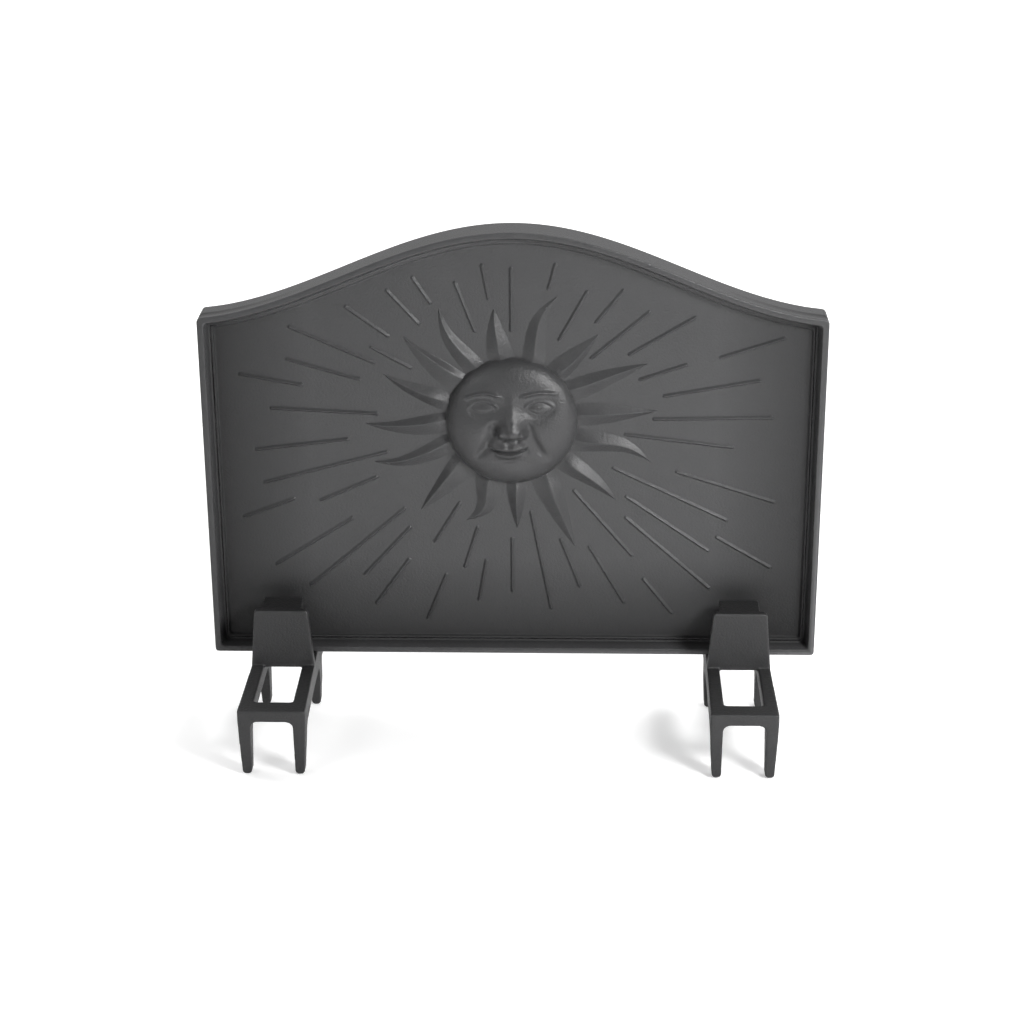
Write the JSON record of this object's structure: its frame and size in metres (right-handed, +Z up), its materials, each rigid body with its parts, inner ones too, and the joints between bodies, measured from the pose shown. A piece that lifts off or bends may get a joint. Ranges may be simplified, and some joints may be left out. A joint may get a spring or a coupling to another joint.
{
  "type": "fireback",
  "caption": "Arched cast-iron fireback with a raised rim and a sunburst relief, standing loose in two slotted cast feet.",
  "frame": {"origin": "on the hearth, under the middle of the bounding box", "axes": "+X along the plate, +Y from the front to the back, +Z up"},
  "size_m": [0.61, 0.1816, 0.5115],
  "materials": {
    "plate_iron": "matt black-grey sand casting, smooth field with a faint sheen on the relief",
    "foot_iron": "matt black-grey sand casting, slightly grainier on top"
  },
  "bodies": {
    "foot_left": {"foot_left": "foot_iron"},
    "plate": {"fireback_plate": "plate_iron"},
    "foot_right": {"foot_right": "foot_iron"}
  },
  "joints": [
    {"name": "plate_lift", "type": "slide", "parent": "foot_left", "child": "plate", "axis": [0, 0, 1], "range_m": [0, 0.065]},
    {"name": "right_foot_leave", "type": "slide", "parent": "plate", "child": "foot_right", "axis": [0, 0, -1], "range_m": [0, 0.065]}
  ],
  "couplings": [
    {"joint": "right_foot_leave", "follows": "plate_lift", "ratio": 1}
  ]
}
